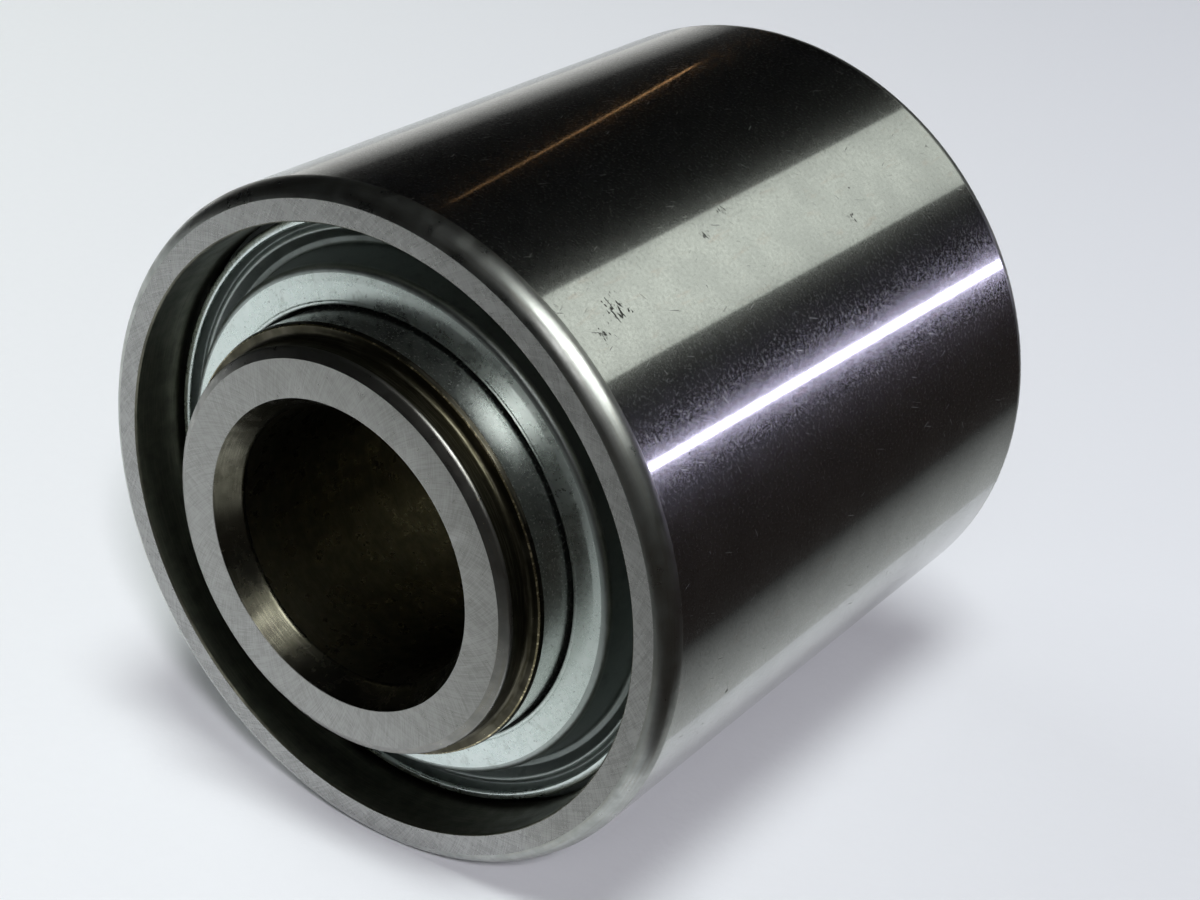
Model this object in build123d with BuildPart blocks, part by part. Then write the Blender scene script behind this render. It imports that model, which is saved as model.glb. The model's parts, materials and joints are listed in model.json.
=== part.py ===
"""Double-row ball bearing cam follower with an extended inner ring.

The follower rolls about Y. The origin is the middle of the bore, halfway between the two ends,
and the follower lies on its rolling surface, so +Z is up. Lengths are in millimetres.
The inner ring is clamped by a bolt and stands still. The outer ring, with its shields and
seals, rolls on two rows of balls, and each row has its own cage.
"""
import os
from math import cos, sin

from build123d import *

# Outer ring
outer_radius = 20.0
outer_width = 39.2
face_outer_radius = 19.1
corner_length = 1.27
recess_mouth_radius = 17.88
recess_wall_radius = 17.8
mouth_break = 0.1
groove_radius = 18.2
groove_depth = 3.7
groove_length = 1.5
end_shoulder_radius = 17.2
middle_shoulder_radius = 15.9

# Inner ring
inner_width = 44.1
bore_radius = 8.135
bore_mouth_radius = 9.05
bore_mouth_length = 1.45
inner_face_radius = 11.24
inner_edge_radius = 11.42
inner_edge_length = 0.11
nose_radius = 11.8
nose_edge_length = 0.36
nose_length = 1.75
nose_fillet = 0.35
step_radius = 12.5
land_radius = 12.6
land_chamfer_length = 0.3
middle_land_radius = 11.6

# Ball rows
ball_radius = 3.3735
pitch_radius = 14.35
row_offset = 7.8
balls_per_row = 9
race_clearance = 0.09
pocket_clearance = 0.12
cage_inner_radius = 13.15
cage_outer_radius = 15.45
cage_ring_length = 4.5
cage_finger_length = 1.7
cage_edge_round = 0.3

# Shield, in radii and in depths below the outer ring's end face
annulus_inner_radius = 12.86
annulus_outer_radius = 14.95
annulus_depth = 1.75
sheet = 0.5
hem_length = 0.8
wall_foot_radius = 15.45
valley_radius = 15.85
valley_depth = 4.45
ridge_radius = 16.45
ridge_depth = 3.9
hollow_radius = 16.78
hollow_depth = 4.25
bead_inner_radius = 17.02
bead_outer_radius = 17.48
bead_depth = 3.45
bead_foot_radius = 17.62
rim_radius = 18.1
rim_depth = 4.8
soft_bend = 0.4
tight_bend = 0.18
edge_break = 0.05

# Seal, in radii and in depths below the outer ring's end face
seal_lip_radius = 12.69
seal_lip_thickness = 0.5
seal_lip_depth = 2.65
seal_bend_radius = 13.5
seal_bend_depth = 4.5
seal_web_radius = 14.3
seal_thickness = 0.8
seal_rim_radius = 17.15
seal_round = 0.15

inner_end = inner_width / 2
outer_end = outer_width / 2
step_end = inner_end - nose_length
groove_end = groove_depth + groove_length
os.makedirs("parts", exist_ok=True)


def write(piece, name):
    """Label a finished piece and write its file."""
    piece.part.label = name
    export_step(piece.part, f"parts/{name}.step")


def corner_middle():
    """Return the middle point of the rounded corner, whose arc is tangent to the rolling surface."""
    drop = outer_radius - face_outer_radius
    arc_radius = (corner_length**2 + drop**2) / (2 * drop)
    half_turn = corner_length / arc_radius / 2
    radius = outer_radius - arc_radius * (1 - cos(half_turn))
    return (radius, outer_end - corner_length + arc_radius * sin(half_turn))


# The two ball grooves that are cut into both rings
with BuildPart() as races:
    with Locations((0, row_offset, 0), (0, -row_offset, 0)):
        Torus(pitch_radius, ball_radius + race_clearance, rotation=(90, 0, 0))

# Sections are drawn with X as the radius and Y along the axis, then turned about Y.
with BuildPart() as outer_ring:
    with BuildSketch(Plane.XY):
        with BuildLine():
            corner_start = (outer_radius, outer_end - corner_length)
            corner_end = (face_outer_radius, outer_end)
            Line((outer_radius, 0), corner_start)
            ThreePointArc(corner_start, corner_middle(), corner_end)
            Polyline(
                corner_end,
                (recess_mouth_radius, outer_end),
                (recess_wall_radius, outer_end - mouth_break),
                (recess_wall_radius, outer_end - groove_depth),
                (groove_radius, outer_end - groove_depth),
                (groove_radius, outer_end - groove_end),
                (end_shoulder_radius, outer_end - groove_end),
                (end_shoulder_radius, row_offset),
                (middle_shoulder_radius, row_offset),
                (middle_shoulder_radius, 0),
                (outer_radius, 0),
            )
        make_face()
        mirror(about=Plane.XZ)
    revolve(axis=Axis.Y)
    add(races.part, mode=Mode.SUBTRACT)
write(outer_ring, "outer_ring")

# A short nose at each end of the inner ring steps up to the ground land beside the balls.
with BuildPart() as inner_ring:
    with BuildSketch(Plane.XY):
        with BuildLine():
            Polyline(
                (bore_radius, 0),
                (bore_radius, inner_end - bore_mouth_length),
                (bore_mouth_radius, inner_end),
                (inner_face_radius, inner_end),
                (inner_edge_radius, inner_end - inner_edge_length),
                (nose_radius, inner_end - nose_edge_length),
                (nose_radius, step_end),
                (step_radius, step_end),
                (land_radius, step_end - land_chamfer_length),
                (land_radius, row_offset),
                (middle_land_radius, row_offset),
                (middle_land_radius, 0),
                (bore_radius, 0),
            )
        make_face()
        nose_root = vertices().sort_by_distance((nose_radius, step_end))[0]
        fillet(nose_root, radius=nose_fillet)
        mirror(about=Plane.XZ)
    revolve(axis=Axis.Y)
    add(races.part, mode=Mode.SUBTRACT)
write(inner_ring, "inner_ring")


def make_shield(side):
    """Build a pressed steel shield; side is -1 at the front end and 1 at the back end.

    From the rim inwards it has a rolled bead, a small ridge, a valley, a steep wall and the flat
    annulus with a short hem turned back along the inner ring.
    """
    outline = (
        (rim_radius, rim_depth, edge_break),
        (bead_foot_radius, rim_depth, edge_break),
        (bead_outer_radius, bead_depth, tight_bend),
        (bead_inner_radius, bead_depth, tight_bend),
        (hollow_radius, hollow_depth, tight_bend),
        (ridge_radius, ridge_depth, tight_bend),
        (valley_radius, valley_depth, tight_bend),
        (wall_foot_radius, valley_depth, tight_bend),
        (annulus_outer_radius, annulus_depth, soft_bend),
        (annulus_inner_radius, annulus_depth, tight_bend),
        (annulus_inner_radius, annulus_depth + hem_length, edge_break),
        (annulus_inner_radius + sheet, annulus_depth + hem_length, edge_break),
        (annulus_inner_radius + sheet, annulus_depth + sheet, edge_break),
        (annulus_outer_radius - sheet, annulus_depth + sheet, edge_break),
        (wall_foot_radius - sheet, groove_end, tight_bend),
        (rim_radius, groove_end, edge_break),
    )
    points = [(radius, side * (outer_end - depth)) for radius, depth, _ in outline]
    rounds = [bend for _, _, bend in outline]
    with BuildPart() as shield:
        with BuildSketch(Plane.XY):
            with BuildLine():
                FilletPolyline(*points, radius=rounds, close=True)
            make_face()
        revolve(axis=Axis.Y)
    return shield


def make_seal(side):
    """Build a rubber seal behind its shield, with a lip that runs close to the inner ring."""
    lip_outer_radius = seal_lip_radius + seal_lip_thickness
    outline = (
        (seal_lip_radius, seal_lip_depth),
        (lip_outer_radius, seal_lip_depth),
        (seal_bend_radius, seal_bend_depth),
        (seal_web_radius, groove_end),
        (seal_rim_radius, groove_end),
        (seal_rim_radius, groove_end + seal_thickness),
        (seal_web_radius - seal_thickness / 2, groove_end + seal_thickness),
        (seal_bend_radius - seal_thickness / 2, seal_bend_depth + seal_thickness),
        (seal_lip_radius, seal_lip_depth + seal_thickness),
    )
    points = [(radius, side * (outer_end - depth)) for radius, depth in outline]
    with BuildPart() as seal:
        with BuildSketch(Plane.XY):
            with BuildLine():
                FilletPolyline(*points, radius=seal_round, close=True)
            make_face()
        revolve(axis=Axis.Y)
    return seal


def ball_places(side):
    """Return the ball centres of one row, spaced evenly on the pitch circle."""
    row_plane = Plane.XZ.offset(-side * row_offset)
    return [row_plane * place for place in PolarLocations(pitch_radius, balls_per_row)]


def make_cage(side):
    """Build a crown cage: a ring on the row's outer side, with round pockets open to the middle."""
    pocket = Sphere(ball_radius + pocket_clearance, mode=Mode.PRIVATE)
    ring_end = side * (row_offset + cage_ring_length)
    finger_end = side * (row_offset - cage_finger_length)
    with BuildPart() as cage:
        with BuildSketch(Plane.XY):
            with BuildLine():
                FilletPolyline(
                    (cage_inner_radius, finger_end),
                    (cage_outer_radius, finger_end),
                    (cage_outer_radius, ring_end),
                    (cage_inner_radius, ring_end),
                    radius=cage_edge_round,
                    close=True,
                )
            make_face()
        revolve(axis=Axis.Y)
        with Locations(*ball_places(side)):
            add(pocket, mode=Mode.SUBTRACT)
    return cage


for side, end in ((-1, "front"), (1, "back")):
    write(make_shield(side), f"shield_{end}")
    write(make_seal(side), f"seal_{end}")
    write(make_cage(side), f"cage_{end}")
    for number, place in enumerate(ball_places(side), start=1):
        with BuildPart(place) as ball:
            Sphere(ball_radius)
        write(ball, f"ball_{end}_{number}")
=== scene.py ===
"""Looks of the cam follower: its rings and shields as turned meshes, their finishes, and the studio.

Lengths named *_mm are in millimetres and become metres through MM. Everything else is in metres.
Outlines are drawn as (radius, distance along Y) and turned about the Y axis.
"""
import json
import math

import bmesh
import bpy
import numpy as np
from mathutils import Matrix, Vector, noise


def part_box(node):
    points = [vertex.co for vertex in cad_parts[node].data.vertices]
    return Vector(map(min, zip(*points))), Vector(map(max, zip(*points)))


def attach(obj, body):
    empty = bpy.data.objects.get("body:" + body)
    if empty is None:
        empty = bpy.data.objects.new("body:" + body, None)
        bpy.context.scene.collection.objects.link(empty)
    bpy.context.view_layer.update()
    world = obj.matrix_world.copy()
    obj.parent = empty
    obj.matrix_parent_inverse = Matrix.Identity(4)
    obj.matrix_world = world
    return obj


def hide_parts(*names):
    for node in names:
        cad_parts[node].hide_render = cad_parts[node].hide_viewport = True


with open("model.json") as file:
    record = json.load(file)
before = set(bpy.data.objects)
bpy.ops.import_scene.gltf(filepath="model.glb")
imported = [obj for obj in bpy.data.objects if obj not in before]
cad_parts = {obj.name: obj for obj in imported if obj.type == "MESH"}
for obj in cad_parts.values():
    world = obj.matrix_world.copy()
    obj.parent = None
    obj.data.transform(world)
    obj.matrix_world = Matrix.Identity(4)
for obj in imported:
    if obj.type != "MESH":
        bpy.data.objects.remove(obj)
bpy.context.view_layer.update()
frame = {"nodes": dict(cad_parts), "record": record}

MM = 0.001
TURN = 2 * math.pi

# Sizes that the frame gives, in millimetres
outer_low, outer_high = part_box("outer_ring")
inner_low, inner_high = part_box("inner_ring")
outer_radius_mm = outer_high.z / MM
outer_end_mm = outer_high.y / MM
inner_end_mm = inner_high.y / MM
floor_level = outer_low.z
bore_radius_mm = frame["record"]["mounts"][0]["dims"]["r_mm"]

# Outer ring
face_outer_mm = 19.1
corner_length_mm = 1.27
recess_mouth_mm = 17.88
recess_wall_mm = 17.8
mouth_break_mm = 0.1
groove_radius_mm = 18.2
groove_start_mm = 3.7
groove_end_mm = 5.2
end_shoulder_mm = 17.2
middle_shoulder_mm = 15.9

# Inner ring
bore_mouth_mm = 9.05
bore_mouth_length_mm = 1.45
inner_face_mm = 11.24
inner_edge_mm = 11.42
inner_edge_length_mm = 0.11
nose_mm = 11.8
nose_edge_length_mm = 0.36
nose_length_mm = 1.75
nose_fillet_mm = 0.35
step_mm = 12.5
land_mm = 12.6
land_chamfer_mm = 0.3
middle_land_mm = 11.6

# Ball rows
ball_radius_mm = 3.3735
race_clearance_mm = 0.09
race_radius_mm = ball_radius_mm + race_clearance_mm
pitch_radius_mm = 14.35
row_offset_mm = 7.8

# Shield, in millimetres: radius, depth below the outer ring's end face, bend, finish of the stretch
# that follows, and finish of the bend
# Painted shade: every finish in this table but zinc is a dimmed copy of it.
shield_outline_mm = (
    (18.1, 4.8, 0.05, "shaded", "shaded"),
    (17.62, 4.8, 0.05, "shaded", "shaded"),
    (17.48, 3.45, 0.225, "zinc", "zinc"),
    (17.02, 3.45, 0.225, "shaded", "zinc"),
    (16.78, 4.25, 0.18, "shaded", "shaded"),
    (16.45, 3.9, 0.18, "shaded", "half_shaded"),
    (15.85, 4.45, 0.18, "shaded", "shaded"),
    (15.45, 4.45, 0.18, "shaded", "shaded"),
    (14.95, 1.84, 0.55, "zinc", "half_shaded"),
    (14.1, 1.77, 0.9, "zinc", "zinc"),
    (13.08, 1.75, 0.02, "zinc", "zinc"),
    (13.04, 1.78, 0.02, "zinc", "zinc"),
    (13.0, 1.75, 0.02, "zinc", "zinc"),
    (12.8, 1.75, 0.1, "shaded", "half_shaded"),
    (12.8, 2.5, 0.05, "shaded", "shaded"),
    (13.3, 2.5, 0.05, "shaded", "shaded"),
    (13.3, 2.25, 0.05, "shaded", "shaded"),
    (14.45, 2.25, 0.05, "shaded", "shaded"),
    (14.95, 5.2, 0.18, "shaded", "shaded"),
    (18.1, 5.2, 0.05, "shaded", "shaded"),
)

# Mesh density
around = 384
corner_steps = 6
outer_corner_steps = 18
race_steps = 28
fillet_steps = 8
support_mm = 0.03
long_run_mm = 6 * support_mm
shortest_mm = 1e-6
longest_bend_share = 0.45

# Rounding of the rings' edges
crisp_mm = 0.035
soft_edge_mm = 0.25
worn_edge_mm = 0.06
mouth_bend_mm = 0.55
mouth_edge_mm = 0.05
face_edge_mm = 0.03
chamfer_bend_mm = 0.06
gold_bend_mm = 0.02

# Tool marks on the nose
groove_pitch_mm = 0.22
groove_depth_mm = 0.0016
groove_points = 4
groove_variation = 0.4
groove_beat = 7.3

# Wear of crisp edges
worn_bend_mm = 0.12
outer_wear = 0.3
inner_wear = 0.5
usual_wear = 0.35
wear_contrast = 1.1
wear_spots = 9
wear_dimension = 0.7
wear_lacunarity = 2.1
wear_octaves = 4

# Unevenness of pressed sheet: waves around it, waves per millimetre across it, share
ripples = ((1.6, 0.25, 1.0), (6.0, 0.8, 0.3))
sheet_ripple_mm = 0.02


# ---------------------------------------------------------------- turned meshes

class Outline:
    """A closed outline of a turned piece, in millimetres, with the finish of each stretch."""

    def __init__(self):
        self.corners = []

    def to(self, radius, along, finish, round_mm=crisp_mm, bend_finish=None):
        """Add a corner; finish is that of the stretch that leaves it, bend_finish that of its rounding."""
        self.corners.append((radius, along, round_mm, finish, bend_finish or finish))

    def arc(self, centre, radius, start, end, finish, steps, first_round=0.0, last_round=0.0):
        """Add an arc about centre, from angle start to angle end in radians.

        first_round and last_round are the roundings of its two ends.
        """
        rounds = {0: first_round, steps: last_round}
        for step in range(steps + 1):
            angle = start + (end - start) * step / steps
            x = centre[0] + radius * math.cos(angle)
            y = centre[1] + radius * math.sin(angle)
            self.to(x, y, finish, rounds.get(step, 0.0))

    def leave_with(self, finish):
        """Give the stretch that leaves the last corner another finish."""
        radius, along, round_mm, _, bend_finish = self.corners[-1]
        self.corners[-1] = (radius, along, round_mm, finish, bend_finish)

    def grooves(self, start, end, finish, pitch, depth):
        """Add uneven tool marks between two points, cut into the side to the left of the way."""
        run = Vector(end) - Vector(start)
        steps = groove_points * round(run.length / pitch)
        side = Vector((-run.y, run.x)).normalized() * depth
        for step in range(1, steps):
            share = step / steps
            cut = 0.5 - 0.5 * math.cos(TURN * step / groove_points)
            size = 1 - groove_variation + groove_variation * math.sin(groove_beat * step)
            point = Vector(start) + run * share + side * cut * size
            self.to(point.x, point.y, finish, 0.0)

    def mirrored(self):
        """Add the same outline again on the other side of the middle, in the opposite order."""
        corners = self.corners
        self.corners = list(corners)
        count = len(corners)
        for index in range(count - 1, -1, -1):
            radius, along, round_mm, _, bend_finish = corners[index]
            finish = corners[index - 1][3]
            if along != 0:
                self.corners.append((radius, -along, round_mm, finish, bend_finish))

    def points(self):
        """Return (place, finish, wear target) for each point, with the corners rounded."""
        result = []
        count = len(self.corners)
        for index, (radius, along, round_mm, finish, bend_finish) in enumerate(self.corners):
            here = Vector((radius, along))
            before = Vector(self.corners[index - 1][:2])
            after = Vector(self.corners[(index + 1) % count][:2])
            to_before, to_after = before - here, after - here
            if round_mm == 0 or to_before.length < shortest_mm or to_after.length < shortest_mm:
                result.append((here, finish, None))
                continue
            half = to_before.angle(to_after) / 2
            room = longest_bend_share * min(to_before.length, to_after.length)
            reach = min(round_mm / math.tan(half), room)
            first = here + to_before.normalized() * reach
            last = here + to_after.normalized() * reach
            chord_middle = (first + last) / 2
            for step in range(corner_steps + 1):
                share = step / corner_steps
                bend = first.lerp(here, share).lerp(here.lerp(last, share), share)
                worn = chord_middle if round_mm <= worn_bend_mm else None
                result.append((bend, finish if step == corner_steps else bend_finish, worn))
        return self.supported(result)

    def supported(self, points):
        """Add a point close to both ends of each long stretch, which keeps its shading flat."""
        result = []
        for index, (here, finish, wear) in enumerate(points):
            after = points[(index + 1) % len(points)][0]
            run = after - here
            result.append((here, finish, wear))
            if run.length > long_run_mm:
                step = run.normalized() * support_mm
                result.append((here + step, finish, None))
                result.append((after - step, finish, None))
        return result


def turn(name, outline, finishes, seed, wear=0.0, ripple=0.0):
    """Turn an outline about the Y axis into a mesh object.

    wear flattens its crisp edges unevenly, and ripple, in millimetres, waves it along the axis.
    """
    points = outline.points()
    rows = len(points)
    angles = np.arange(around) * TURN / around
    ring = np.stack([np.cos(angles), np.zeros(around), np.sin(angles)], axis=1)
    places = np.zeros((rows, around, 3))
    for row, (here, _, target) in enumerate(points):
        radius = np.full(around, here.x)
        along = np.full(around, here.y)
        if target is not None and wear > 0:
            share = np.array([edge_wear(a, target, seed) for a in angles]) * wear
            radius += share * (target.x - here.x)
            along += share * (target.y - here.y)
        if ripple > 0:
            along += np.array([press_ripple(a, here.x, seed) for a in angles]) * ripple
        places[row] = ring * radius[:, None]
        places[row, :, 1] = along
    here = np.arange(rows * around).reshape(rows, around)
    right = np.roll(here, -1, axis=1)
    below = np.roll(here, -1, axis=0)
    below_right = np.roll(below, -1, axis=1)
    faces = np.stack([here, right, below_right, below], axis=2).reshape(-1, 4)
    mesh = bpy.data.meshes.new(name)
    mesh.from_pydata((places.reshape(-1, 3) * MM).tolist(), [], faces.tolist())
    names = list(finishes)
    for finish in names:
        mesh.materials.append(finishes[finish])
    slots = np.repeat([names.index(finish) for _, finish, _ in points], around)
    mesh.polygons.foreach_set("material_index", slots.astype(np.int32))
    mesh.polygons.foreach_set("use_smooth", np.ones(rows * around, bool))
    face_outwards(mesh)
    obj = bpy.data.objects.new(name, mesh)
    bpy.context.scene.collection.objects.link(obj)
    return obj


def face_outwards(mesh):
    """Point every face away from the solid."""
    work = bmesh.new()
    work.from_mesh(mesh)
    bmesh.ops.recalc_face_normals(work, faces=work.faces)
    work.to_mesh(mesh)
    work.free()


def edge_wear(angle, target, seed):
    """Return how worn an edge is at this angle, from 0 to 1."""
    x, y = math.cos(angle) * wear_spots, math.sin(angle) * wear_spots
    spot = Vector((x, y, target.x * 3 + target.y + seed))
    worn = noise.fractal(spot, wear_dimension, wear_lacunarity, wear_octaves)
    return min(1.0, max(0.0, usual_wear + wear_contrast * worn))


def press_ripple(angle, radius, seed):
    """Return the slight unevenness of a pressed sheet at this place, from about -1 to 1."""
    height = 0.0
    for spots, across, share in ripples:
        x, y = math.cos(angle) * spots, math.sin(angle) * spots
        height += share * noise.noise(Vector((x, y, radius * across + seed)))
    return height


def outer_ring_outline():
    """Outline of the outer ring, starting at the middle of the rolling surface."""
    drop = outer_radius_mm - face_outer_mm
    arc_radius = (corner_length_mm**2 + drop**2) / (2 * drop)
    arc_turn = math.asin(corner_length_mm / arc_radius)
    race_half = math.acos((middle_shoulder_mm - pitch_radius_mm) / race_radius_mm)
    race_end = math.acos((end_shoulder_mm - pitch_radius_mm) / race_radius_mm)
    centre = (outer_radius_mm - arc_radius, -(outer_end_mm - corner_length_mm))
    front = -outer_end_mm
    shape = Outline()
    shape.to(outer_radius_mm, 0, "rolling", 0)
    shape.arc(centre, arc_radius, 0, -arc_turn, "corner", outer_corner_steps, 0, crisp_mm)
    shape.leave_with("face")
    shape.to(recess_mouth_mm, front, "recess")
    shape.to(recess_wall_mm, front + mouth_break_mm, "recess")
    shape.to(recess_wall_mm, front + groove_start_mm, "recess")
    shape.to(groove_radius_mm, front + groove_start_mm, "recess")
    shape.to(groove_radius_mm, front + groove_end_mm, "recess")
    shape.to(end_shoulder_mm, front + groove_end_mm, "race")
    row = (pitch_radius_mm, -row_offset_mm)
    shape.arc(row, race_radius_mm, -race_end, race_half, "race", race_steps, crisp_mm, crisp_mm)
    shape.to(middle_shoulder_mm, 0, "race", 0)
    return shape


def inner_ring_outline():
    """Outline of the inner ring, starting at the middle of the bore."""
    end = -inner_end_mm
    step = end + nose_length_mm
    race_end = math.acos((pitch_radius_mm - land_mm) / race_radius_mm)
    race_half = math.acos((pitch_radius_mm - middle_land_mm) / race_radius_mm)
    shape = Outline()
    shape.to(bore_radius_mm, 0, "bore", 0)
    shape.to(bore_radius_mm, end + bore_mouth_length_mm, "mouth", mouth_bend_mm)
    shape.to(bore_mouth_mm, end, "face", mouth_edge_mm)
    shape.to(inner_face_mm, end, "edge", face_edge_mm)
    shape.to(inner_edge_mm, end + inner_edge_length_mm, "edge", chamfer_bend_mm)
    nose_start = (nose_mm, end + nose_edge_length_mm + 2 * soft_edge_mm)
    nose_stop = (nose_mm, step - nose_fillet_mm)
    shape.to(nose_mm, end + nose_edge_length_mm, "nose", soft_edge_mm, "edge")
    shape.to(*nose_start, "nose", 0)
    shape.grooves(nose_start, nose_stop, "nose", groove_pitch_mm, groove_depth_mm)
    fillet = (nose_mm + nose_fillet_mm, step - nose_fillet_mm)
    shape.arc(fillet, nose_fillet_mm, math.pi, math.pi / 2, "nose", fillet_steps)
    shape.to(step_mm - worn_edge_mm, step, "gold", gold_bend_mm)
    shape.to(step_mm + worn_edge_mm / 3, step + worn_edge_mm, "chamfer", gold_bend_mm)
    shape.to(land_mm, step + land_chamfer_mm, "land", chamfer_bend_mm)
    row = (pitch_radius_mm, -row_offset_mm)
    first, last = math.pi + race_end, math.pi - race_half
    shape.arc(row, race_radius_mm, first, last, "race", race_steps, crisp_mm, crisp_mm)
    shape.to(middle_land_mm, 0, "race", 0)
    return shape


def shield_outline(side):
    """Outline of a shield at the front (side -1) or back (side 1) end."""
    shape = Outline()
    for radius, depth, bend, finish, bend_finish in shield_outline_mm:
        shape.to(radius, side * (outer_end_mm - depth), finish, bend, bend_finish)
    return shape


# ---------------------------------------------------------------- finishes

# Scratches: lean in degrees, length and width in mm, share, seed
scratch_sets = (
    (68, 1.8, 0.13, 0.256, 3.0),
    (112, 1.4, 0.12, 0.246, 9.0),
    (20, 1.1, 0.13, 0.250, 17.0),
)
face_scratches = (28, 5.0, 0.05, 0.2, 2.0)
land_scratches = ((40, 1.3, 0.09, 0.29, 5.0), (65, 0.8, 0.08, 0.27, 11.0))
scratch_edge = 0.05

# Dark scuffs on the rolling surface: place around and along it, and size, in mm
scuffs_mm = (
    (14.3, -14.6, 2.3),
    (15.2, -16.6, 1.2),
    (13.0, -5.2, 1.0),
    (12.3, -2.6, 0.9),
    (16.0, 6.5, 0.9),
)
scuff_strength = 0.31
speck_edge = 0.02

# Colours
rolling_grey = (0.44, 0.45, 0.435)
rolling_pale = (0.52, 0.53, 0.51)
rust_brown = (0.42, 0.30, 0.24)
grain_grey = (0.36, 0.37, 0.35)
scuff_black = (0.05, 0.05, 0.045)
scratch_pale = (0.75, 0.75, 0.73)
ring_olive = (0.30, 0.28, 0.22)
speck_gold = (0.85, 0.76, 0.48)
land_grey = (0.66, 0.68, 0.655)
land_pale = (0.80, 0.82, 0.795)
land_mark = (0.22, 0.22, 0.21)
zinc_grey = (0.60, 0.68, 0.645)
zinc_pale = (0.72, 0.80, 0.765)
zinc_bright = (0.84, 0.89, 0.865)
zinc_stain = (0.42, 0.47, 0.43)
zinc_speck = (0.10, 0.11, 0.10)
lapped_grey = (0.60, 0.60, 0.61)
lapped_pale = (0.68, 0.68, 0.68)


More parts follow.
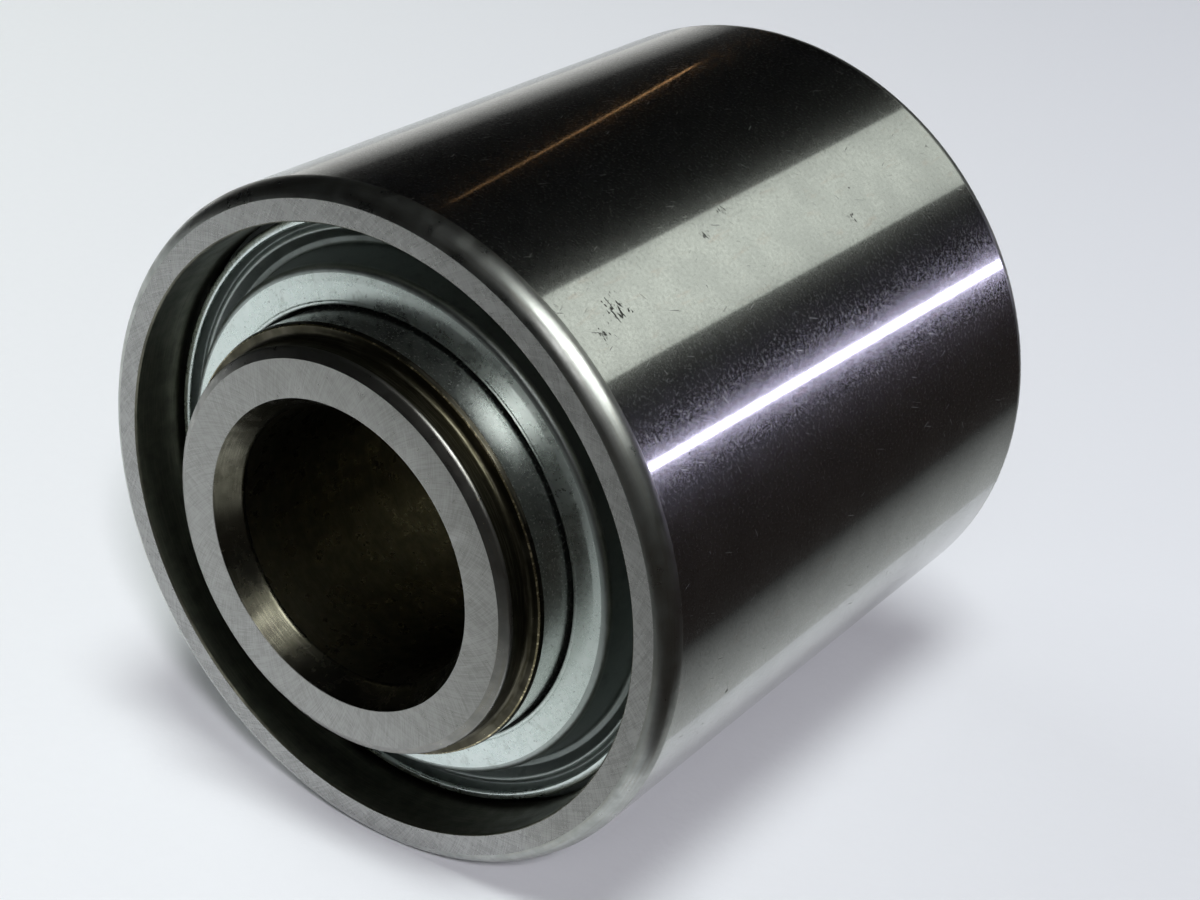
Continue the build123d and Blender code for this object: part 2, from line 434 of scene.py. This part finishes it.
class Graph:
    """A material made node by node. A value may be a number, a colour or another node's output."""

    def __init__(self, name):
        self.material = bpy.data.materials.new(name)
        self.material.use_nodes = True
        self.tree = self.material.node_tree
        self.shader = self.tree.nodes["Principled BSDF"]

    def put(self, socket, value):
        """Give a socket a value, or link it to an output."""
        if isinstance(value, bpy.types.NodeSocket):
            self.tree.links.new(value, socket)
        else:
            socket.default_value = value

    def set(self, **values):
        """Set the shader's sockets, named with underscores for spaces."""
        for name, value in values.items():
            self.put(self.shader.inputs[name.replace("_", " ")], value)
        return self.material

    def math(self, operation, first, second=0.0):
        """Work out a number from one or two others."""
        node = self.tree.nodes.new("ShaderNodeMath")
        node.operation = operation
        for socket, value in zip(node.inputs, (first, second)):
            self.put(socket, value)
        return node.outputs[0]

    def join(self, x, y, z):
        """Make a vector of three values."""
        node = self.tree.nodes.new("ShaderNodeCombineXYZ")
        for socket, value in zip(node.inputs, (x, y, z)):
            self.put(socket, value)
        return node.outputs[0]

    def noise(self, vector, scale, detail=2.0, roughness=0.5, distortion=0.0):
        """Return soft random cloudiness, about 0.5 on average, with scale spots to the millimetre."""
        node = self.tree.nodes.new("ShaderNodeTexNoise")
        self.put(node.inputs["Vector"], vector)
        self.put(node.inputs["Scale"], scale)
        self.put(node.inputs["Detail"], detail)
        self.put(node.inputs["Roughness"], roughness)
        self.put(node.inputs["Distortion"], distortion)
        return node.outputs[0]

    def between(self, value, low, high, start=0.0, end=1.0):
        """Map value from low..high to start..end, held at both ends."""
        node = self.tree.nodes.new("ShaderNodeMapRange")
        node.interpolation_type = "SMOOTHSTEP"
        for socket, number in zip(node.inputs, (value, low, high, start, end)):
            self.put(socket, number)
        return node.outputs[0]

    def mix(self, share, first, second):
        """Mix two colours."""
        node = self.tree.nodes.new("ShaderNodeMix")
        node.data_type = "RGBA"
        self.put(node.inputs[0], share)
        for socket, colour in ((node.inputs[6], first), (node.inputs[7], second)):
            self.put(socket, colour if isinstance(colour, bpy.types.NodeSocket) else (*colour, 1))
        return node.outputs[2]

    def bump(self, height, depth_mm):
        """Raise the surface by height times depth_mm."""
        node = self.tree.nodes.new("ShaderNodeBump")
        node.inputs["Strength"].default_value = 1.0
        node.inputs["Distance"].default_value = depth_mm * MM
        self.put(node.inputs["Height"], height)
        return node.outputs[0]

    def place(self):
        """Return the place on the piece: x, y, z and radius in millimetres, and the direction outwards."""
        where = self.tree.nodes.new("ShaderNodeTexCoord").outputs["Object"]
        parts = self.tree.nodes.new("ShaderNodeSeparateXYZ")
        self.tree.links.new(where, parts.inputs[0])
        x, y, z = (self.math("MULTIPLY", part, 1 / MM) for part in parts.outputs)
        square = self.math("ADD", self.math("MULTIPLY", x, x), self.math("MULTIPLY", z, z))
        radius = self.math("MAXIMUM", self.math("SQRT", square), 0.001)
        return {"x": x, "y": y, "z": z, "radius": radius,
                "cos": self.math("DIVIDE", x, radius), "sin": self.math("DIVIDE", z, radius),
                "all": self.join(x, y, z)}

    def arc_length(self, place, radius_mm):
        """Return how far round the axis the place is, in millimetres at the given radius."""
        return self.math("MULTIPLY", self.math("ARCTAN2", place["x"], place["z"]), radius_mm)

    def stretched(self, u, u_scale, v, v_scale, seed):
        """Make a vector of u and v, each scaled, and a seed."""
        return self.join(self.math("MULTIPLY", u, u_scale), self.math("MULTIPLY", v, v_scale), seed)

    def lay(self, place, along, around_count, across_count):
        """Return streaks that run around the axis: along is the value that grows across them."""
        vector = self.join(self.math("MULTIPLY", place["cos"], around_count),
                           self.math("MULTIPLY", place["sin"], around_count),
                           self.math("MULTIPLY", along, across_count))
        return self.noise(vector, 1.0, detail=3.0, roughness=0.6)

    def spokes(self, place, skew, fine, length):
        """Return streaks that run outwards over a face and lean by skew."""
        angle = self.math("ARCTAN2", place["z"], place["x"])
        leaning = self.math("ADD", angle, self.math("MULTIPLY", place["radius"], skew))
        vector = self.join(self.math("MULTIPLY", self.math("COSINE", leaning), fine),
                           self.math("MULTIPLY", self.math("SINE", leaning), fine),
                           self.math("MULTIPLY", place["radius"], length))
        return self.noise(vector, 1.0, detail=2.0, roughness=0.6)

    def scratches(self, u, v, lean, length, width, amount, seed):
        """Return thin straight scratches over a surface laid out as u, v in millimetres: 1 on a scratch."""
        cosine, sine = math.cos(math.radians(lean)), math.sin(math.radians(lean))
        along = self.math("ADD", self.math("MULTIPLY", u, cosine), self.math("MULTIPLY", v, sine))
        across = self.math("SUBTRACT", self.math("MULTIPLY", v, cosine), self.math("MULTIPLY", u, sine))
        fine = self.join(self.math("DIVIDE", along, length), self.math("DIVIDE", across, width), seed)
        lines = self.noise(fine, 1.0, detail=1.0, roughness=0.4)
        return self.between(lines, 1 - amount, 1 - amount + scratch_edge)

    def nearness(self, u, v, at_u, at_v, size):
        """Return 1 at the place at_u, at_v, falling to 0 at the distance size."""
        du = self.math("SUBTRACT", u, at_u)
        dv = self.math("SUBTRACT", v, at_v)
        square = self.math("ADD", self.math("MULTIPLY", du, du), self.math("MULTIPLY", dv, dv))
        return self.between(self.math("SQRT", square), size, 0.0)


def rolling_scratches(g, arc, along):
    """Return all the scratches on the rolling surface: 1 on a scratch."""
    scratched = 0.0
    for lean, length, width, amount, seed in scratch_sets:
        marks = g.scratches(arc, along, lean, length, width, amount, seed)
        scratched = g.math("MAXIMUM", scratched, marks)
    return scratched


def rolling_nicks(g, arc, along):
    """Return the dark nicks and scuffs on the rolling surface: 1 on a nick."""
    streaks = g.noise(g.stretched(arc, 2.2, along, 5.5, seed=2.0), 1.0, detail=3.0, roughness=0.6)
    nicks = g.between(g.noise(g.join(arc, along, 4.0), 1.3, detail=4.0, roughness=0.7), 0.70, 0.73)
    for arc_mm, along_mm, size_mm in scuffs_mm:
        near = g.nearness(arc, along, arc_mm, along_mm, size_mm)
        torn = g.math("ADD", streaks, g.math("MULTIPLY", near, scuff_strength))
        nicks = g.math("MAXIMUM", nicks, g.between(torn, 0.80, 0.86))
    return nicks


def rolling_steel():
    """Ground and polished bearing steel: a sharp mirror with a haze, fine speckle, scratches and scuffs."""
    g = Graph("rolling_steel")
    p = g.place()
    arc = g.arc_length(p, outer_radius_mm)
    surface = g.join(arc, p["y"], 0.0)
    grain = g.noise(surface, 4.6, detail=6.0, roughness=0.8)
    hazy = g.between(g.noise(surface, 38.0, detail=1.0), 0.49, 0.53)
    patches = g.noise(p["all"], 0.35, detail=3.0, roughness=0.55)
    rust = g.noise(g.stretched(arc, 1.6, p["y"], 0.35, seed=7.0), 1.0, detail=4.0, roughness=0.65)
    scratched = rolling_scratches(g, arc, p["y"])
    nicks = rolling_nicks(g, arc, p["y"])

    tone = g.mix(g.between(patches, 0.35, 0.7), rolling_grey, rolling_pale)
    tone = g.mix(g.between(rust, 0.56, 0.76, 0.0, 0.35), tone, rust_brown)
    grained = g.mix(g.between(grain, 0.36, 0.64, 0.0, 0.6), tone, grain_grey)
    colour = g.mix(g.math("MULTIPLY", nicks, 0.9), grained, scuff_black)

    mirror = g.between(grain, 0.40, 0.60, 0.05, 0.085)
    haze = g.math("MULTIPLY", hazy, g.between(grain, 0.35, 0.65, 0.215, 0.29))
    roughness = g.math("MAXIMUM", haze, mirror)
    roughness = g.math("MAXIMUM", roughness, g.math("MULTIPLY", scratched, 0.5))
    roughness = g.math("MAXIMUM", roughness, g.math("MULTIPLY", nicks, 0.6))

    height = g.math("SUBTRACT", g.math("MULTIPLY", grain, 0.35), g.math("MULTIPLY", scratched, 0.9))
    height = g.math("SUBTRACT", height, g.math("MULTIPLY", nicks, 1.5))
    return g.set(Base_Color=colour, Metallic=1.0, Roughness=roughness, Normal=g.bump(height, 0.0006))


def ground_face(name, tone, bright, roughness):
    """Satin ground end face with a fine cross-hatch of grinding marks and a few long scratches."""
    g = Graph(name)
    p = g.place()
    leaning = g.spokes(p, skew=0.05, fine=170.0, length=0.8)
    crossing = g.spokes(p, skew=-0.09, fine=150.0, length=0.9)
    hatch = g.math("MULTIPLY", g.math("ADD", leaning, crossing), 0.5)
    mottle = g.noise(p["all"], 1.4, detail=4.0, roughness=0.6)
    marks = g.scratches(p["x"], p["z"], *face_scratches)
    blend = g.math("ADD", g.math("MULTIPLY", hatch, 0.7), g.math("MULTIPLY", mottle, 0.3))
    colour = g.mix(g.between(blend, 0.40, 0.60), tone, bright)
    colour = g.mix(g.math("MULTIPLY", marks, 0.5), colour, scratch_pale)
    rough = g.between(mottle, 0.3, 0.7, roughness - 0.04, roughness + 0.05)
    height = g.math("ADD", hatch, g.math("MULTIPLY", marks, -0.5))
    return g.set(Base_Color=colour, Metallic=1.0, Roughness=rough, Normal=g.bump(height, 0.0035))


def dark_steel(name, tone, warm, roughness, speck_share, across="y"):
    """Turned, heat-darkened steel with an olive film, worn through to bright specks."""
    g = Graph(name)
    p = g.place()
    rings = g.lay(p, p[across], around_count=5.0, across_count=11.0)
    cloud = g.noise(p["all"], 0.9, detail=4.0, roughness=0.6)
    specks = g.between(g.noise(p["all"], 5.0), 1 - speck_share, 1 - speck_share + speck_edge)
    film = g.mix(g.between(cloud, 0.3, 0.7), tone, warm)
    ringed = g.mix(g.math("MULTIPLY", g.between(rings, 0.45, 0.7), 0.35), film, ring_olive)
    colour = g.mix(specks, ringed, speck_gold)
    rough = g.between(cloud, 0.3, 0.7, roughness + 0.06, roughness - 0.05)
    height = g.math("ADD", rings, g.math("MULTIPLY", specks, 0.6))
    return g.set(Base_Color=colour, Metallic=1.0, Roughness=rough, Normal=g.bump(height, 0.003))


def ground_land():
    """Ground seal land: bright, fine rings around it and a few diagonal scratches."""
    g = Graph("ground_land")
    p = g.place()
    arc = g.arc_length(p, land_mm)
    rings = g.lay(p, p["y"], around_count=6.0, across_count=14.0)
    grain = g.noise(g.join(arc, p["y"], 0.0), 6.0, detail=3.0, roughness=0.6)
    long_marks, short_marks = (g.scratches(arc, p["y"], *values) for values in land_scratches)
    marks = g.math("MAXIMUM", long_marks, short_marks)
    colour = g.mix(g.between(grain, 0.35, 0.65), land_grey, land_pale)
    colour = g.mix(g.math("MULTIPLY", marks, 0.6), colour, land_mark)
    rough = g.between(g.math("MAXIMUM", g.between(grain, 0.4, 0.7), marks), 0.0, 1.0, 0.20, 0.28)
    height = g.math("ADD", g.math("MULTIPLY", rings, 0.7), g.math("MULTIPLY", grain, 0.2))
    return g.set(Base_Color=colour, Metallic=1.0, Roughness=rough, Normal=g.bump(height, 0.0012))


def dimmed(colour, light):
    """Return a colour with its brightness scaled, as painted shade."""
    return tuple(light * value for value in colour)


def zinc_plate(name, light, roughness, marked):
    """Zinc plated pressed sheet: pale, soft, with clouds, stains, dark specks and curly handling marks.

    light scales all its colours as painted shade, and marked is the strength of the specks and marks.
    """
    g = Graph(name)
    p = g.place()
    cloud = g.noise(p["all"], 0.45, detail=4.0, roughness=0.6)
    crystal = g.noise(p["all"], 2.6, detail=4.0, roughness=0.7)
    stain = g.between(g.noise(p["all"], 0.8, detail=5.0, roughness=0.65), 0.56, 0.70)
    specks = g.between(g.noise(p["all"], 4.5), 0.68, 0.73)
    lifted = g.join(p["x"], p["y"], g.math("ADD", p["z"], 31.0))
    curl = g.noise(lifted, 0.55, detail=1.0, roughness=0.4, distortion=1.6)
    line = g.between(g.math("ABSOLUTE", g.math("SUBTRACT", curl, 0.5)), 0.0045, 0.0)
    line = g.math("MULTIPLY", line, g.between(g.noise(p["all"], 0.5, detail=1.0), 0.5, 0.6))
    sunk = g.math("MULTIPLY", g.math("MAXIMUM", specks, line), marked)

    # Painted shade: every colour below is dimmed by light.
    tone = g.mix(g.between(cloud, 0.3, 0.7), dimmed(zinc_grey, light), dimmed(zinc_pale, light))
    tone = g.mix(g.between(crystal, 0.35, 0.65, 0.0, 0.35), tone, dimmed(zinc_bright, light))
    tone = g.mix(g.math("MULTIPLY", stain, 0.5), tone, dimmed(zinc_stain, light))
    tone = g.mix(sunk, tone, zinc_speck)

    blend = g.math("ADD", g.math("MULTIPLY", cloud, 0.6), g.math("MULTIPLY", crystal, 0.4))
    rough = g.between(blend, 0.3, 0.7, roughness - 0.03, roughness + 0.05)
    height = g.math("SUBTRACT", g.math("MULTIPLY", crystal, 0.6), sunk)
    return g.set(Base_Color=tone, Metallic=1.0, Roughness=rough, Normal=g.bump(height, 0.004))


def polished_steel(name, along):
    """Lapped steel of the balls and races: bright, with faint lapping marks."""
    g = Graph(name)
    p = g.place()
    rings = g.lay(p, p[along], around_count=8.0, across_count=8.0)
    spots = g.noise(p["all"], 2.2, detail=4.0, roughness=0.6)
    colour = g.mix(g.between(spots, 0.35, 0.7), lapped_grey, lapped_pale)
    rough = g.between(rings, 0.35, 0.65, 0.06, 0.16)
    return g.set(Base_Color=colour, Metallic=1.0, Roughness=rough, Normal=g.bump(rings, 0.0008))


def moulded(name, low, high, roughness, grain_scale):
    """Moulded rubber or nylon: a fine grain, faint flow marks and a soft sheen."""
    g = Graph(name)
    p = g.place()
    flow = g.noise(p["all"], 0.6, detail=3.0, roughness=0.6)
    grain = g.noise(p["all"], grain_scale, detail=3.0, roughness=0.6)
    colour = g.mix(g.between(flow, 0.3, 0.7), low, high)
    rough = g.between(grain, 0.3, 0.7, roughness - 0.06, roughness + 0.08)
    return g.set(Base_Color=colour, Roughness=rough, Normal=g.bump(grain, 0.012))


# ---------------------------------------------------------------- pieces

# Painted shade: the second and third finishes are the zinc plate dimmed, for darker bends and wall.
shield_finishes = {
    "zinc": zinc_plate("zinc_plate", 1.0, 0.27, 0.45),
    "half_shaded": zinc_plate("zinc_plate_painted_half_shade", 0.62, 0.38, 0.15),
    "shaded": zinc_plate("zinc_plate_painted_shade", 0.42, 0.42, 0.3),
}
outer_finishes = {
    "rolling": rolling_steel(),
    "corner": dark_steel("corner_steel", (0.36, 0.375, 0.355), (0.47, 0.485, 0.46), 0.32, 0.12),
    "face": ground_face("outer_face_steel", (0.265, 0.265, 0.256), (0.38, 0.38, 0.37), 0.28),
    "recess": dark_steel("recess_steel", (0.12, 0.12, 0.093), (0.18, 0.177, 0.138), 0.36, 0.18),
    "race": polished_steel("outer_race_steel", "y"),
}
inner_finishes = {
    "bore": dark_steel("bore_steel", (0.17, 0.16, 0.11), (0.28, 0.26, 0.18), 0.30, 0.24),
    "mouth": dark_steel("mouth_steel", (0.095, 0.091, 0.067), (0.145, 0.139, 0.105), 0.25, 0.20),
    "face": ground_face("inner_face_steel", (0.265, 0.265, 0.25), (0.37, 0.37, 0.355), 0.31),
    "edge": dark_steel("edge_steel", (0.23, 0.23, 0.215), (0.31, 0.305, 0.285), 0.31, 0.25, "radius"),
    "nose": dark_steel("nose_steel", (0.045, 0.041, 0.026), (0.070, 0.064, 0.040), 0.36, 0.20),
    "gold": dark_steel("worn_edge_steel", (0.20, 0.175, 0.10), (0.42, 0.37, 0.22), 0.30, 0.42),
    "chamfer": dark_steel("chamfer_steel", (0.035, 0.033, 0.025), (0.065, 0.060, 0.045), 0.30, 0.25),
    "land": ground_land(),
    "race": polished_steel("inner_race_steel", "y"),
}


def make_pieces():
    """Build the rings and shields, which replace the plain CAD ones."""
    outer_shape = outer_ring_outline()
    outer_shape.mirrored()
    outer = turn("outer_ring_turned", outer_shape, outer_finishes, wear=outer_wear, seed=1.0)
    add_piece(outer, "outer", "outer_ring")
    inner_shape = inner_ring_outline()
    inner_shape.mirrored()
    inner = turn("inner_ring_turned", inner_shape, inner_finishes, wear=inner_wear, seed=5.0)
    add_piece(inner, "inner", "inner_ring")
    for side, end in ((-1, "front"), (1, "back")):
        shield = turn(f"shield_{end}_pressed", shield_outline(side), shield_finishes,
                      ripple=sheet_ripple_mm, seed=20.0 + side)
        add_piece(shield, "outer", f"shield_{end}")


def add_piece(obj, body, node):
    """Tie a piece to its body, and hide the CAD node that it stands for."""
    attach(obj, body)
    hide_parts(node)


def finish_nodes():
    """Give the CAD pieces that stay on show their finishes."""
    rubber = moulded("seal_rubber", (0.012, 0.012, 0.012), (0.028, 0.027, 0.026), 0.55, 9.0)
    nylon = moulded("cage_nylon", (0.50, 0.44, 0.30), (0.62, 0.56, 0.42), 0.42, 5.0)
    ball = polished_steel("ball_steel", "z")
    for node, obj in frame["nodes"].items():
        for prefix, material in (("seal_", rubber), ("cage_", nylon), ("ball_", ball)):
            if node.startswith(prefix):
                for material_slot in obj.material_slots:
                    material_slot.material = material


# ---------------------------------------------------------------- studio

centre = Vector((0, 0, 0))
square = ((-1, -1), (1, -1), (1, 1), (-1, 1))
floor_size = 3.0
floor_colour = (0.88, 0.91, 0.91)
# Painted shade on the floor: the paper goes from floor_colour to floor_shade towards the right.
floor_shade = (0.70, 0.715, 0.76)
floor_fibre = (0.76, 0.78, 0.80)
shade_direction = (0.8, 0.6)
shade_reach = 0.12
room_dark = (0.003, 0.003, 0.003)
background_pale = (0.72, 0.75, 0.77)

# Camera: lengths in metres, angles in degrees, lens and sensor in millimetres
camera_place = Vector((0.07098, -0.09448, 0.05525))
camera_azimuth = 36.375
camera_elevation = 25.939
camera_lens = 64.43
camera_sensor = 36.0
camera_clip = 0.005

# Lamps: name, place, width, height, power in watts, colour, whether reflections show it
studio_lamps = (
    ("key", (0.79, -0.67, 0.79), 0.14, 0.14, 9.6, (0.97, 0.93, 1.0), False),
    ("overhead", (0.30, -0.18, 1.15), 0.38, 0.38, 8.6, (0.97, 1.0, 0.99), False),
    ("fill", (-0.75, 0.05, 0.55), 0.6, 0.6, 2.0, (0.97, 1.0, 1.0), False),
    ("front", (0.32, -0.56, 0.48), 0.24, 0.22, 0.42, (1.0, 0.98, 1.0), True),
)

# The large bright card above the right-hand side, which faces the follower
key_card_place = (1.08, -0.24, 1.44)
key_card_width = 1.24
key_card_height = 0.92
key_card_colour = (0.97, 1.0, 0.98)
key_card_strength = 6.2

# Cards on the wall behind the follower: name, corners as (x, z), colour, strength at the first two
# corners, strength at the last two
wall_y = 0.5
window_corners = ((0.037, 0.275), (0.196, 0.182), (0.442, 0.420), (0.154, 0.592))
tube_corners = ((0.262, 0.022), (0.262, 0.040), (0.60, 0.175), (0.60, 0.152))
line_corners = ((-0.30, 0.235), (-0.2985, 0.235), (-0.2835, 0.43), (-0.285, 0.43))
wall_cards = (
    ("window", window_corners, (0.95, 1.0, 0.93), 0.95, 1.45),
    ("tube", tube_corners, (0.78, 0.72, 1.0), 15.0, 15.0),
    ("orange_line", line_corners, (1.0, 0.55, 0.25), 3.4, 1.2),
)
horizon_corners = ((-0.80, 0.25, -0.02), (-0.20, 0.60, -0.02), (-0.20, 0.60, 0.14), (-0.80, 0.25, 0.18))
horizon_colour = (1.0, 1.0, 0.98)
horizon_strength = 0.95

# Painted reflection and painted shade: cards that glow with the floor's colour, fading to dark.
# Cards just above the floor. The fade at the side runs along Y, from side_start to side_end, and
# ends at side_front. The fade in front starts at one slanted line and ends at another.
card_lift = 0.0004
card_reach = 1.4
side_start = 0.020
side_end = 0.037
side_front = -0.014
corner_left = 0.024
front_right = 0.05
front_left = -0.48
front_start = ((-0.49, -0.425), (0.012, -0.0203))
front_end = ((0.033, -0.039), (-0.4735, -0.449))
# Tints and strengths of the painted reflection and painted shade on the floor cards.
side_colour = (1.0, 0.8, 0.75)
corner_colour = (1.0, 0.85, 0.75)
side_near = 0.58
side_far = 0.02
front_near = 0.80
front_far = 0.17
front_rest = 0.155


def make_camera():
    """The camera, at the photograph's viewing angle."""
    data = bpy.data.cameras.new("camera")
    data.sensor_width = camera_sensor
    data.lens = camera_lens
    data.clip_start = camera_clip
    obj = bpy.data.objects.new("camera", data)
    obj.location = camera_place
    obj.rotation_euler = (math.radians(90 - camera_elevation), 0, math.radians(camera_azimuth))
    bpy.context.scene.collection.objects.link(obj)
    bpy.context.scene.camera = obj


def quad(name, corners, material):
    """A flat stage piece."""
    mesh = bpy.data.meshes.new(name)
    mesh.from_pydata([tuple(corner) for corner in corners], [], [tuple(range(len(corners)))])
    mesh.materials.append(material)
    obj = bpy.data.objects.new(name, mesh)
    bpy.context.scene.collection.objects.link(obj)
    return obj


def make_floor():
    """The pale floor that the follower lies on, with painted shade that darkens it towards the right."""
    g = Graph("floor_paper_painted_shade")
    where = g.tree.nodes.new("ShaderNodeTexCoord").outputs["Object"]
    fibre = g.noise(where, 900.0, detail=3.0, roughness=0.6)
    parts = g.tree.nodes.new("ShaderNodeSeparateXYZ")
    g.tree.links.new(where, parts.inputs[0])
    x, y = parts.outputs["X"], parts.outputs["Y"]
    # Painted shade: the paper is mixed towards floor_shade along this direction.
    x_share, y_share = shade_direction
    rightward = g.math("ADD", g.math("MULTIPLY", x, x_share), g.math("MULTIPLY", y, y_share))
    paper_with_painted_shade = g.mix(g.between(rightward, -shade_reach, shade_reach), floor_colour, floor_shade)
    colour = g.mix(g.between(fibre, 0.3, 0.7, 0.0, 0.06), paper_with_painted_shade, floor_fibre)
    g.set(Base_Color=colour, Roughness=0.9, Normal=g.bump(fibre, 0.02))
    g.shader.inputs["Specular IOR Level"].default_value = 0.1
    half = floor_size / 2
    corners = [(x * half, y * half, floor_level) for x, y in square]
    quad("floor", corners, g.material)


def glow(name, colour, start, end):
    """A light-giving material that goes from strength start to strength end along the card's local Y."""
    material = bpy.data.materials.new(name)
    material.use_nodes = True
    tree = material.node_tree
    tree.nodes.clear()
    where = tree.nodes.new("ShaderNodeTexCoord")
    parts = tree.nodes.new("ShaderNodeSeparateXYZ")
    ramp = tree.nodes.new("ShaderNodeMapRange")
    light = tree.nodes.new("ShaderNodeEmission")
    result = tree.nodes.new("ShaderNodeOutputMaterial")
    ramp.inputs["To Min"].default_value = start
    ramp.inputs["To Max"].default_value = end
    light.inputs["Color"].default_value = (*colour, 1)
    tree.links.new(where.outputs["UV"], parts.inputs[0])
    tree.links.new(parts.outputs["Y"], ramp.inputs["Value"])
    tree.links.new(ramp.outputs[0], light.inputs["Strength"])
    tree.links.new(light.outputs[0], result.inputs["Surface"])
    return material


def card(name, corners, colour, start, end):
    """A card that only reflections see, with its strength at the first two corners and the last two."""
    obj = quad(name, corners, glow(name, colour, start, end))
    layer = obj.data.uv_layers.new(name="UVMap")
    for loop, place in zip(layer.data, ((0, 0), (1, 0), (1, 1), (0, 1))):
        loop.uv = place
    obj.visible_camera = False
    obj.visible_diffuse = False
    obj.visible_shadow = False


def floor_card(name, corners, colour, start, end):
    """A card just above the floor, with corners as (x, y)."""
    card(name, [(x, y, floor_level + card_lift) for x, y in corners], colour, start, end)


def lamp(name, place, width, height, power, colour, glossy):
    """A soft rectangular studio light that faces the follower."""
    data = bpy.data.lights.new(name, "AREA")
    data.shape = "RECTANGLE"
    data.size = width
    data.size_y = height
    data.energy = power
    data.color = colour
    obj = bpy.data.objects.new(name, data)
    obj.location = place
    obj.rotation_euler = (centre - Vector(place)).to_track_quat("-Z", "Y").to_euler()
    obj.visible_camera = False
    obj.visible_glossy = glossy
    bpy.context.scene.collection.objects.link(obj)


def facing_card(name, place, width, height, colour, strength):
    """A rectangular card that faces the follower."""
    turned = (centre - Vector(place)).to_track_quat("-Z", "Y")
    corners = [Vector(place) + turned @ Vector((x * width / 2, y * height / 2, 0)) for x, y in square]
    card(name, corners, colour, strength, strength)


def make_lights():
    """Soft studio light on the floor, and the bright cards that the polished steel mirrors."""
    for values in studio_lamps:
        lamp(*values)
    facing_card("key_card", key_card_place, key_card_width, key_card_height,
                key_card_colour, key_card_strength)
    for name, corners, colour, start, end in wall_cards:
        card(name, [(x, wall_y, z) for x, z in corners], colour, start, end)
    card("horizon", horizon_corners, horizon_colour, horizon_strength, 0.0)


def make_shades():
    """Floor cards: a painted reflection of the floor that fades to painted shade at the side and in front.
    """
    reach, front = card_reach, side_front
    fade = ((side_start, reach), (side_start, front), (side_end, front), (side_end, reach))
    side = ((side_end, reach), (side_end, front), (reach, front), (reach, reach))
    corner = ((reach, front), (corner_left, front), (front_right, -reach), (reach, -reach))
    near_right, near_left = front_end
    ahead = (near_left, near_right, (front_right, -reach), (front_left, -reach))
    floor_card("side_painted_reflection", fade, floor_colour, side_near, side_far)
    floor_card("side_painted_shade", side, side_colour, side_far, side_far)
    floor_card("corner_painted_shade", corner, corner_colour, side_far, side_far)
    floor_card("front_painted_reflection", (*front_start, *front_end), floor_colour, front_near, front_far)
    floor_card("front_painted_shade", ahead, floor_colour, front_rest, front_rest)


def make_world():
    """A dark room behind the cards, and a pale background for the camera."""
    world = bpy.data.worlds.new("studio")
    bpy.context.scene.world = world
    world.use_nodes = True
    tree = world.node_tree
    tree.nodes.clear()
    rays = tree.nodes.new("ShaderNodeLightPath")
    dark = tree.nodes.new("ShaderNodeBackground")
    pale = tree.nodes.new("ShaderNodeBackground")
    mix = tree.nodes.new("ShaderNodeMixShader")
    result = tree.nodes.new("ShaderNodeOutputWorld")
    dark.inputs["Color"].default_value = (*room_dark, 1)
    pale.inputs["Color"].default_value = (*background_pale, 1)
    tree.links.new(rays.outputs["Is Camera Ray"], mix.inputs[0])
    tree.links.new(dark.outputs[0], mix.inputs[1])
    tree.links.new(pale.outputs[0], mix.inputs[2])
    tree.links.new(mix.outputs[0], result.inputs["Surface"])


make_pieces()
finish_nodes()
make_camera()
make_floor()
make_lights()
make_shades()
make_world()
bpy.context.scene.view_settings.view_transform = "Standard"
